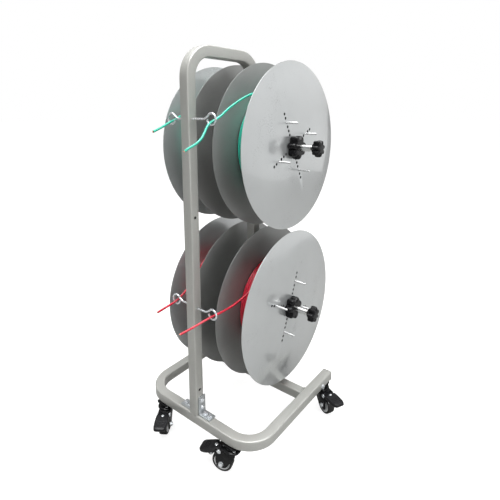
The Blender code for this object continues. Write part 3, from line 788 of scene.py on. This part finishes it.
def foot_bracket(end, side, y):
    """An angle of zinc-plated strip with a round inner bend, its bolts and their washers."""
    sign = SIDES[side]
    thick, leg, foot, width, radius = 0.003, 0.047, 0.036, 0.022, 0.0045
    near, bottom = TUBE / 2 + GAP, BASE_TOP + GAP
    section = [(0.0, leg), (0.0, radius)]
    for k in range(1, 8):
        angle = math.pi / 2 * k / 8
        section.append((radius - radius * math.cos(angle), radius - radius * math.sin(angle)))
    section += [(radius, 0.0), (foot, 0.0), (foot, thick), (radius, thick)]
    for k in range(1, 5):
        angle = math.pi / 2 * (1 - k / 5)
        inner = radius - thick
        section.append((radius - inner * math.cos(angle), radius - inner * math.sin(angle)))
    section += [(thick, radius), (thick, leg)]
    loops = [[Vector((sign * (near + a), y + shift, bottom + b)) for a, b in section]
             for shift in (-width / 2, width / 2)]
    plate = beveled(skin(loops), 0.0005, 2, 60)
    name = f"foot_bracket_{end}_{side}"
    add(f"{name}_plate", plate, "plate_zinc", "root", [name])
    heads = []
    for a, across, outer in ((0.0125, 0.0090, 0.0072), (0.0275, 0.0080, 0.0054)):
        place = shift(sign * (near + a), y, bottom + thick)
        heads.append(moved(bolt(across, 0.0034, outer), place @ spin_by("Z", 0.35 * a * 100)))
    for b, across in ((0.0180, 0.0080), (0.0350, 0.0080)):
        place = shift(sign * (near + thick), y, bottom + b)
        turn = spin_by("Y", sign * math.pi / 2) @ spin_by("Z", b * 20)
        heads.append(moved(bolt(across, 0.0034, 0.0056), place @ turn))
    add(f"{name}_bolts_look", joined(heads), "zinc_plate", "root")


def eye_bolt(place, side, ring_out, height):
    """A rod from the leg with a small upward crank, closed into a ring."""
    points = [Vector((0.004, 0, 0)), Vector((ring_out - 0.0300, 0, 0)), Vector((ring_out - 0.0215, 0, 0))]
    points.append(Vector((ring_out - 0.0168, 0, 0.0018)))
    for k in range(25):
        angle = math.radians(146 - 320 * k / 24)
        points.append(Vector((ring_out + EYE_RING * math.cos(angle), 0, EYE_RING * math.sin(angle))))
    fine = smooth_route(points, 0.0009)
    rod = swept([Vector((side * p.x, FRONT_LEG_Y, height + p.z)) for p in fine], EYE_ROD, 16)
    add(f"eye_rod_{place}", rod, "zinc_plate", "root", [f"eye_bolt_{place}"])


# Axles and reels --------------------


def axle(tier, height):
    """A turned rod with rounded ends and thread grooves under the end knobs, and its two collars."""
    near = TUBE / 2 + GAP
    end = AXLE_HALF_LENGTH
    half = [(AXLE_RADIUS, near), (COLLAR_RADIUS, near), (COLLAR_RADIUS, COLLAR_OUT),
            (AXLE_RADIUS, COLLAR_OUT)]
    half = eased([(AXLE_RADIUS, 0.0)] + half + [(AXLE_RADIUS, 0.1690)], 0.0006)
    for k in range(12):
        at = 0.1700 + k * 0.0015
        half += [(AXLE_RADIUS, at), (AXLE_RADIUS - 0.0006, at + 0.00075)]
    half += [(AXLE_RADIUS - 0.0010, end - 0.0003), (AXLE_RADIUS - 0.0016, end)]
    profile = [(radius, -out) for radius, out in half[:0:-1]] + half
    place = shift(0, AXLE_Y, height) @ spin_by("Y", math.pi / 2)
    screws = []
    for sign in (-1, 1):
        screw = turned([(0.0030, 0.0), (0.0030, 0.0008), (0.0024, 0.0012),
                        (0.0014, 0.0012), (0.0014, 0.0002)], 16)
        centre = (near + COLLAR_OUT) / 2
        out = shift(COLLAR_RADIUS - 0.0004, 0, sign * centre)
        out = out @ spin_by("Y", math.pi / 2)
        screws.append(moved(screw, spin_by("Z", math.radians(-60)) @ out))
    rod = moved(joined([turned(profile, 48)] + screws), place)
    add(f"axle_rod_{tier}", rod, "bright_steel", "root", [f"axle_{tier}"])


def hub_place(tier, side):
    sign = SIDES[side]
    outwards = spin_by("Y", sign * math.pi / 2)
    spin = spin_by("X", math.radians(-CORE_TURN[f"{tier}_{side}"]))
    upright = spin_by("Z", math.pi) if sign > 0 else Matrix.Identity(4)
    return shift(0, AXLE_Y, AXLE_HEIGHTS[tier]) @ spin @ outwards @ upright


def core_shape():
    """The sleeve with its boss, the four flat arms, and the nuts of the pins."""
    sleeve = [(0.0083, SLEEVE_FROM), (SLEEVE_RADIUS, SLEEVE_FROM), (SLEEVE_RADIUS, 0.1185)]
    for k in range(13):
        at = 0.1190 + k * 0.0016
        sleeve += [(SLEEVE_RADIUS, at), (SLEEVE_RADIUS - 0.0007, at + 0.0008)]
    sleeve += [(SLEEVE_RADIUS - 0.0008, SLEEVE_TO), (0.0083, SLEEVE_TO)]
    boss = [(SLEEVE_RADIUS - 0.001, 0.0290), (0.0200, 0.0290), (0.0200, SPIDER_FROM + 0.001),
            (SLEEVE_RADIUS - 0.001, SPIDER_FROM + 0.001)]
    meshes = [turned(sleeve, 48, closed=True), turned(eased(boss, 0.0008), 48, closed=True)]
    wide = SPIDER_HALF_WIDTH
    arm = rounded_polygon([(0.0, -wide), (SPIDER_REACH, -wide), (SPIDER_REACH, wide), (0.0, wide)], 0.004)
    for quarter in range(4):
        spin = spin_by("Z", math.pi / 2 * quarter)
        low = SPIDER_FROM + (0.0002 if quarter % 2 else 0.0)
        meshes.append(moved(beveled(prism(arm, low, low + SPIDER_THICK), 0.0005), spin))
        nut = hex_head(0.0080, 0.0, 0.0035)
        flip = shift(PIN_CIRCLE, 0, SPIDER_FROM) @ spin_by("X", math.pi)
        meshes.append(moved(nut, spin @ flip))
    return joined(meshes)


def pins_shape():
    """The four driving pins, with rounded tips."""
    radius = PIN_RADIUS
    profile = [(radius, SPIDER_FROM - 0.002), (radius, PIN_END - 0.0014),
               (radius * 0.85, PIN_END - 0.0005), (radius * 0.35, PIN_END)]
    pins = []
    for quarter in range(4):
        spin = spin_by("Z", math.pi / 2 * quarter)
        pins.append(moved(turned(profile, 20), spin @ shift(PIN_CIRCLE, 0, 0)))
    return joined(pins)


def flange_shape():
    """A round sheet with a soft rim, the sleeve's hole, and four lines of small holes."""
    edge = 0.0003
    radius, thick = FLANGE_RADIUS, SHEET
    profile = [(radius - edge, 0.0), (radius - edge * 0.3, edge * 0.3), (radius, edge),
               (radius, thick - edge), (radius - edge * 0.3, thick - edge * 0.3), (radius - edge, thick)]
    drills = [turned([(SLEEVE_RADIUS + GAP, -0.01), (SLEEVE_RADIUS + GAP, 0.01)], 32)]
    for quarter in range(4):
        spin = spin_by("Z", math.pi / 2 * quarter)
        drill = turned([(PIN_RADIUS + 2 * GAP, -0.01), (PIN_RADIUS + 2 * GAP, 0.01)], 16)
        drills.append(moved(drill, spin @ shift(PIN_CIRCLE, 0, 0)))
        for out in HOLE_CIRCLES:
            drill = turned([(SMALL_HOLE, -0.01), (SMALL_HOLE, 0.01)], 16)
            drills.append(moved(drill, spin @ shift(out, 0, 0)))
    return cut(turned(profile, 180), joined(drills))


def painted_shade_shape():
    """A thin black ring between the wire and a flange: painted shade, which shows only as the dark of the
    small holes.
    """
    return turned([(0.0140, 0.0), (0.0960, 0.0), (0.0960, 0.0003), (0.0140, 0.0003)], 48, closed=True)


def layer(radius, low, high, phase, seed, sides):
    """One layer of wire, wound as a screw with slightly uneven lay."""
    turns = int((high - low) / (2 * WIRE_RADIUS * 1.01))
    steps = 64
    points = []
    for k in range(turns * steps + 1):
        angle = 2 * math.pi * k / steps + phase
        at = low + (high - low) * k / (turns * steps)
        drift = noise.noise(Vector((k * 0.02, seed, 0.0)))
        lift = 0.0005 * noise.noise(Vector((seed, k * 0.05, 3.0)))
        points.append(Vector((
            (radius + lift) * math.cos(angle), (radius + lift) * math.sin(angle), at + 0.0005 * drift,
        )))
    return swept(points, WIRE_RADIUS, sides)


def stray_turn(radius, start, end, phase, seed):
    """A loose turn that crosses the layer below it."""
    steps = 90
    points = []
    for k in range(steps + 1):
        share = k / steps
        angle = 2 * math.pi * 0.97 * share + phase
        ease = share * share * (3 - 2 * share)
        out = radius + 0.0009 * noise.noise(Vector((share * 5, seed, 1.0)))
        sink = 0.0030 * (max(0.0, 1 - share / 0.06) + max(0.0, (share - 0.94) / 0.06))
        points.append(Vector((
            (out - sink) * math.cos(angle), (out - sink) * math.sin(angle), start + (end - start) * ease,
        )))
    return swept(points, WIRE_RADIUS, 10)


def winding_shape(outside, seed):
    low = INNER_FLANGE + FLANGE_THICK + 0.0006
    high = OUTER_FLANGE - 0.0006
    first, last = low + WIRE_RADIUS, high - WIRE_RADIUS
    top = outside - WIRE_RADIUS
    under = outside - 2.7 * WIRE_RADIUS
    core = [(WINDING_INSIDE, low), (under, low), (under, high), (WINDING_INSIDE, high)]
    meshes = [turned(core, 96, closed=True)]
    meshes.append(layer(top - 1.75 * WIRE_RADIUS, first, last, 1.0, seed + 0.5, 8))
    meshes.append(layer(top, first, last, 0.0, seed, 10))
    for k, (start, end) in enumerate(((0.75, 0.95), (0.95, 0.55), (0.30, 0.70), (0.60, 0.20))):
        at = [first + (last - first) * share for share in (start, end)]
        meshes.append(stray_turn(outside + WIRE_RADIUS * 0.75, *at, seed * 2.1 + 1.9 * k, seed + k))
    return joined(meshes)


def star_loop(knob, inset, height):
    """A star knob's outline: broad round lobes with narrow hollows between them."""
    outer, waist = knob[0] - inset, knob[1] - inset
    points = []
    count = KNOB_LOBES * LOBE_POINTS
    for i in range(count):
        angle = 2 * math.pi * i / count
        wave = (1 + math.cos(KNOB_LOBES * angle)) / 2
        radius = waist + (outer - waist) * wave ** 0.75
        points.append(Vector((radius * math.cos(angle), radius * math.sin(angle), height)))
    return points


def knob_rings(profile):
    return [circle(radius, height, KNOB_LOBES * LOBE_POINTS) for radius, height in profile]


def clamp_knob_shape():
    """The large star knob: deep lobes, and a face that closes round the axle over the sleeve's end."""
    low, high = CLAMP_KNOB[2:]
    loops = knob_rings(((0.0123, low), (0.0200, low)))
    for inset, height in ((0.0022, low + 0.0004), (0.0006, low + 0.0016), (0.0, low + 0.0035),
                          (0.0, high - 0.0060), (0.0008, high - 0.0034), (0.0026, high - 0.0012),
                          (0.0045, high)):
        loops.append(star_loop(CLAMP_KNOB, inset, height))
    loops += knob_rings(((0.0140, high), (0.0084, high), (0.0084, high - 0.0003), (0.0123, high - 0.0003)))
    return skin(matched(loops), True)


def end_knob_shape():
    """The small star knob: deep lobes, a domed face and a blind bore."""
    low, high = END_KNOB[2:]
    loops = knob_rings(((0.0083, END_KNOB_BORE_TO), (0.0083, low), (0.0120, low), (0.0124, low + 0.0030)))
    for inset, height in ((0.0014, low + 0.0036), (0.0003, low + 0.0050), (0.0, low + 0.0070),
                          (0.0, high - 0.0065), (0.0005, high - 0.0040), (0.0020, high - 0.0018),
                          (0.0048, high - 0.0005)):
        loops.append(star_loop(END_KNOB, inset, height))
    loops += knob_rings(((0.0080, high - 0.0001), (0.0030, high)))
    return skin(matched(loops))


def matched(loops):
    """Loops turned so that each starts at the same angle, which keeps the skin between them straight."""
    lined = []
    for loop in loops:
        start = min(range(len(loop)), key=lambda i: abs(math.atan2(loop[i].y, loop[i].x)))
        lined.append(loop[start:] + loop[:start])
    return lined


def reels():
    core, pins, sheet, painted_shade = core_shape(), pins_shape(), flange_shape(), painted_shade_shape()
    clamp, end = clamp_knob_shape(), end_knob_shape()
    windings = {tier: winding_shape(WINDING_OUTSIDE[tier], seed)
                for tier, seed in (("upper", 3.0), ("lower", 8.0))}
    flanges = (("inner", INNER_FLANGE), ("outer", OUTER_FLANGE + FLANGE_THICK - SHEET))
    for tier in AXLE_HEIGHTS:
        wire = "green_wire" if tier == "upper" else "red_wire"
        for side in SIDES:
            spot = f"{tier}_{side}"
            place = hub_place(tier, side)
            body = f"reel_{spot}"
            add(f"core_{spot}", copied(core, place), "bright_steel", body,
                [f"reel_core_{spot}"])
            add(f"core_pins_{spot}", copied(pins, place), "pin_steel", body)
            for where, out in flanges:
                # Inner sheets take the darker copy of the flange finish, which is painted shade
                disc = copied(sheet, place @ shift(0, 0, out))
                add(f"{where}_sheet_{spot}", disc, f"{where}_sheet", body,
                    [f"{where}_flange_{spot}"])
            # Black discs behind both flanges: painted shade seen through the small holes
            cheeks = joined([copied(painted_shade, place @ shift(0, 0, out)) for out in SHADE_DISC_HEIGHTS])
            add(f"painted_hole_shade_{spot}", cheeks, "painted_shade", body)
            add(f"wound_wire_{spot}", copied(windings[tier], place), wire, body, [f"winding_{spot}"])
            for size, kind, knob in (("large", "clamp", clamp), ("small", "end", end)):
                node = f"{kind}_knob_{spot}"
                add(f"{size}_knob_{spot}", copied(knob, place), "knob_plastic", node, [node])
    for bm in (core, pins, sheet, painted_shade, clamp, end, *windings.values()):
        bm.free()


def wire_tail(spot):
    """A free wire end: one bent length of insulated wire, with its strands just showing at the tip."""
    points = smooth_route([(x, AXLE_Y + y, z) for x, y, z in TAIL_ROUTES[spot]], TAIL_STEP)
    wire = "green_wire" if spot.startswith("upper") else "red_wire"
    curve = bpy.data.curves.new(f"tail_{spot}", "CURVE")
    curve.dimensions = "3D"
    curve.bevel_depth = WIRE_RADIUS
    curve.bevel_resolution = 6
    curve.use_fill_caps = True
    spline = curve.splines.new("POLY")
    spline.points.add(len(points) - 1)
    for target, point in zip(spline.points, points):
        target.co = (*point, 1.0)
    curve.materials.append(MATERIALS[wire])
    obj = bpy.data.objects.new(f"tail_{spot}", curve)
    bpy.context.scene.collection.objects.link(obj)
    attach(obj, "root")
    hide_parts(f"wire_tail_{spot}")
    ahead = (points[-1] - points[-3]).normalized()
    turn = ahead.to_track_quat("Z", "Y").to_matrix().to_4x4()
    strands = []
    for k in range(7):
        out = 0.0 if k == 0 else 0.00105
        offset = Vector((out * math.cos(k * math.pi / 3), out * math.sin(k * math.pi / 3), -0.001))
        strand = turned([(0.00050, 0.0), (0.00050, 0.0026 + 0.0002 * (k % 3)), (0.00030, 0.0030)], 10)
        strands.append(moved(strand, Matrix.Translation(points[-1]) @ turn @ Matrix.Translation(offset)))
    tip = add(f"tail_strands_{spot}", joined(strands), "copper", "root")


# Casters --------------------


def caster_mount_shape():
    """The plate under the tube and the two pressed rings of the ball race."""
    plate = prism(rounded_polygon(rectangle(0.0160, 0.0190), 0.006, 6), MOUNT_UNDERSIDE, BASE_BOTTOM - GAP)
    race = [(0.0120, 0.0668), (0.0152, 0.0672), (0.0168, 0.0682), (0.0176, 0.0698), (0.0176, 0.0712),
            (0.0185, 0.0723), (0.0120, 0.0723)]
    return joined([beveled(plate, 0.0005), turned(race, 48)])


def caster_bolts_shape():
    heads = []
    for x in (-0.0115, 0.0115):
        for y in (-0.0145, 0.0145):
            heads.append(moved(hex_head(0.0070, 0.0, 0.0022), shift(x, y, MOUNT_UNDERSIDE)
                               @ spin_by("X", math.pi)))
    return joined(heads)


def fork_shape():
    """The pressed fork: a dished crown whose cheeks drop either side of the wheel."""
    crown = [(0.0060, 0.0592), (0.0205, 0.0592), (0.0212, 0.0605), (0.0206, 0.0632), (0.0185, 0.0648),
             (0.0155, 0.0660), (0.0060, 0.0664)]
    half = FORK_OUTSIDE
    web = rounded_polygon([(-0.0125, -half), (0.0265, -half), (0.0265, half), (-0.0125, half)], 0.004)
    outline = rounded_polygon(
        [(-0.0128, 0.0618), (-0.0112, 0.0500), (0.0125, 0.0150), (0.0335, 0.0150), (0.0365, 0.0240),
         (0.0368, 0.0560), (0.0312, 0.0618)], 0.0075,
    )
    flat_to_side = spin_by("X", math.pi / 2)
    meshes = [turned(crown, 48), beveled(prism(web, 0.0603, 0.0625), 0.0006)]
    for sign in (-1, 1):
        low, high = sorted((sign * FORK_INSIDE, sign * FORK_OUTSIDE))
        meshes.append(moved(beveled(prism(outline, low, high), 0.0005), flat_to_side))
        ridge = rounded_polygon(
            [(-0.004, 0.0560), (0.006, 0.0400), (0.014, 0.0400), (0.022, 0.0560)], 0.004,
        )
        low, high = sorted((sign * 0.0148, sign * 0.0159))
        meshes.append(moved(beveled(prism(ridge, low, high), 0.0005), flat_to_side))
    return joined(meshes)


def fork_metal_shape():
    """The wheel's axle bolt with its nut, and the pedal's pivot rivet."""
    meshes = []
    rod = turned([(0.0038, -FORK_OUTSIDE), (0.0038, FORK_OUTSIDE)], 20)
    meshes.append(moved(rod, side_place(CASTER_TRAIL, WHEEL_RADIUS, 1)))
    for sign in (-1, 1):
        head = bolt(0.0098, 0.0036, 0.0060, stud=0.0012 if sign > 0 else 0.0)
        place = side_place(CASTER_TRAIL, WHEEL_RADIUS, sign) @ shift(0, 0, FORK_OUTSIDE)
        meshes.append(moved(head, place))
        meshes.append(moved(dome(0.0050, 0.0149, 0.0174), side_place(*PEDAL_PIVOT, sign)))
    return joined(meshes)


def side_place(x, z, sign):
    """Places a shape turned round +Z across the fork, facing the +Y or -Y side."""
    return shift(x, 0, z) @ spin_by("X", -sign * math.pi / 2)


def tread_shape():
    half = 0.0100
    outer = WHEEL_RADIUS
    profile = [(0.0196, -half + 0.0006), (0.0206, -half), (outer - 0.0022, -half),
               (outer - 0.0008, -half + 0.0009), (outer - 0.0002, -half + 0.0028), (outer, 0.0),
               (outer - 0.0002, half - 0.0028), (outer - 0.0008, half - 0.0009), (outer - 0.0022, half),
               (0.0206, half), (0.0196, half - 0.0006)]
    return turned(profile, 96, closed=True)


def rim_shape():
    """The wheel's centre: a light dished rim on both sides of a web, and its hub."""
    half = [(0.0197, 0.0094), (0.0172, 0.0090), (0.0150, 0.0066), (0.0100, 0.0062), (0.0090, 0.0100),
            (0.0082, 0.0108), (0.0044, 0.0108)]
    profile = [(radius, -height) for radius, height in half[::-1]] + [(0.0198, 0.0)] + half
    return turned(profile, 72, closed=True)


def pedal_shape():
    """The pedal from its pivot: a tongue, a wide curved pad with grip ribs, and a lug below."""
    px, pz = PEDAL_PIVOT
    narrow, wide = 0.0120, 0.0165
    stations = [
        (0.0222, narrow, 0.0536, 0.0584), (0.0240, narrow, 0.0528, 0.0592),
        (0.0360, narrow, 0.0512, 0.0596),
        (0.0378, narrow + 0.0002, 0.0508, 0.0596), (0.0382, wide - 0.0006, 0.0504, 0.0594),
        (0.0400, wide, 0.0496, 0.0592), (0.0480, wide, 0.0472, 0.0574), (0.0560, wide, 0.0440, 0.0546),
        (0.0650, wide - 0.0004, 0.0414, 0.0516), (0.0730, wide - 0.0014, 0.0400, 0.0494),
        (0.0775, wide - 0.0034, 0.0398, 0.0478), (0.0795, wide - 0.0062, 0.0402, 0.0466),
        (0.0800, wide - 0.0085, 0.0412, 0.0456),
    ]
    loops = []
    for out, half, low, high in stations:
        tall = (high - low) / 2
        corners = rounded_polygon(rectangle(half, tall), min(0.0022, 0.7 * tall), 4)
        loops.append([Vector((out - px, y, (low + high) / 2 + z - pz)) for y, z in corners])
    meshes = [skin(loops)]
    ribs = ((0.0285, 0.0090), (0.0330, 0.0090), (0.0580, 0.0125), (0.0630, 0.0125), (0.0680, 0.0125))
    for out, half in ribs:
        top = surface_height(stations, out)
        slope = math.atan2(surface_height(stations, out + 0.001) - top, 0.001)
        rib = beveled(prism(rounded_polygon(rectangle(0.0011, half), 0.001), -0.0006, 0.0007), 0.0003)
        place = shift(out - px, 0, top - pz) @ spin_by("Y", -slope)
        meshes.append(moved(rib, place))
    lug = rounded_polygon([(0.0425, 0.0500), (0.0450, 0.0412), (0.0515, 0.0392), (0.0580, 0.0445)], 0.003)
    plate = beveled(prism(lug, -0.0135, 0.0135), 0.0006)
    meshes.append(moved(plate, shift(-px, 0, -pz) @ spin_by("X", math.pi / 2)))
    return joined(meshes)


def surface_height(stations, out):
    """Height of the pedal's upper face at a distance out."""
    for (x0, _, _, z0), (x1, _, _, z1) in zip(stations, stations[1:]):
        if x0 <= out <= x1:
            return z0 + (z1 - z0) * (out - x0) / (x1 - x0)
    return stations[-1][3]


def pedal_metal_shape():
    px, pz = PEDAL_PIVOT
    meshes = []
    for sign in (-1, 1):
        meshes.append(moved(dome(0.0030, 0.0132, 0.0150), side_place(0.0485 - px, 0.0448 - pz, sign)))
    meshes.append(moved(dome(0.0042, -0.0006, 0.0016), shift(0.0400 - px, 0, 0.0588 - pz)))
    return joined(meshes)


def casters():
    shapes = {
        "mount": caster_mount_shape(), "bolts": caster_bolts_shape(), "fork": fork_shape(),
        "metal": fork_metal_shape(), "tread": tread_shape(), "rim": rim_shape(),
        "pedal": pedal_shape(), "rivets": pedal_metal_shape(),
    }
    for spot, heading in CASTER_HEADING.items():
        end, side = spot.split("_")
        x = SIDES[side] * CASTER_X[end]
        y = FRONT_LEG_Y if end == "front" else REAR_CASTER_Y
        spot_place = shift(x, y, 0)
        fixed = spot_place @ spin_by("Z", math.pi / 2 if end == "front" else 0.0)
        trail = spot_place @ spin_by("Z", math.radians(heading))
        wheel = trail @ shift(CASTER_TRAIL, 0, WHEEL_RADIUS)
        wheel = wheel @ spin_by("X", math.pi / 2)
        px, pz = PEDAL_PIVOT
        pedal = trail @ shift(px, 0, pz)
        pedal = pedal @ spin_by("Y", math.radians(-PEDAL_TILT[spot]))
        on_fork, on_wheel, on_pedal = (f"{body}_{spot}" for body in ("fork", "wheel", "pedal"))
        for piece, shape, place, material, body, slot, node in (
            ("mount_plate", "mount", fixed, "caster_black", "root", "caster_black", "caster_mount"),
            ("mount_bolts", "bolts", fixed, "zinc_plate", "root", "zinc_plate", None),
            ("fork_sheet", "fork", trail, "caster_black", on_fork, "caster_black", "caster_fork"),
            ("fork_bolts", "metal", trail, "zinc_plate", on_fork, "zinc_plate", None),
            ("tread", "tread", wheel, "wheel_rubber", on_wheel, "wheel_rubber", "caster_wheel"),
            ("rim", "rim", wheel, "hub_plastic", on_wheel, "wheel_rubber", None),
            ("pedal_pad", "pedal", pedal, "pedal_plastic", on_pedal, "pedal_plastic", "brake_pedal"),
            ("pedal_rivets", "rivets", pedal, "zinc_plate", on_pedal, "zinc_plate", None),
        ):
            nodes = [f"{node}_{spot}"] if node else ()
            add(f"{piece}_{spot}", copied(shapes[shape], place), material, body, nodes)
    for bm in shapes.values():
        bm.free()


# Everything --------------------

MATERIALS = make_materials()
set_stage()
for tail in TAIL_ROUTES:
    wire_tail(tail)
base()
crossbar()
arch()
for place_y, row in ((FRONT_LEG_Y + 0.004, "front"), (AXLE_Y, "rear")):
    for hand in SIDES:
        foot_bracket(row, hand, place_y)
for spot, (hand, ring_out, ring_height) in EYE_BOLTS.items():
    eye_bolt(spot, hand, ring_out, ring_height)
for level, axle_height in AXLE_HEIGHTS.items():
    axle(level, axle_height)
reels()
casters()
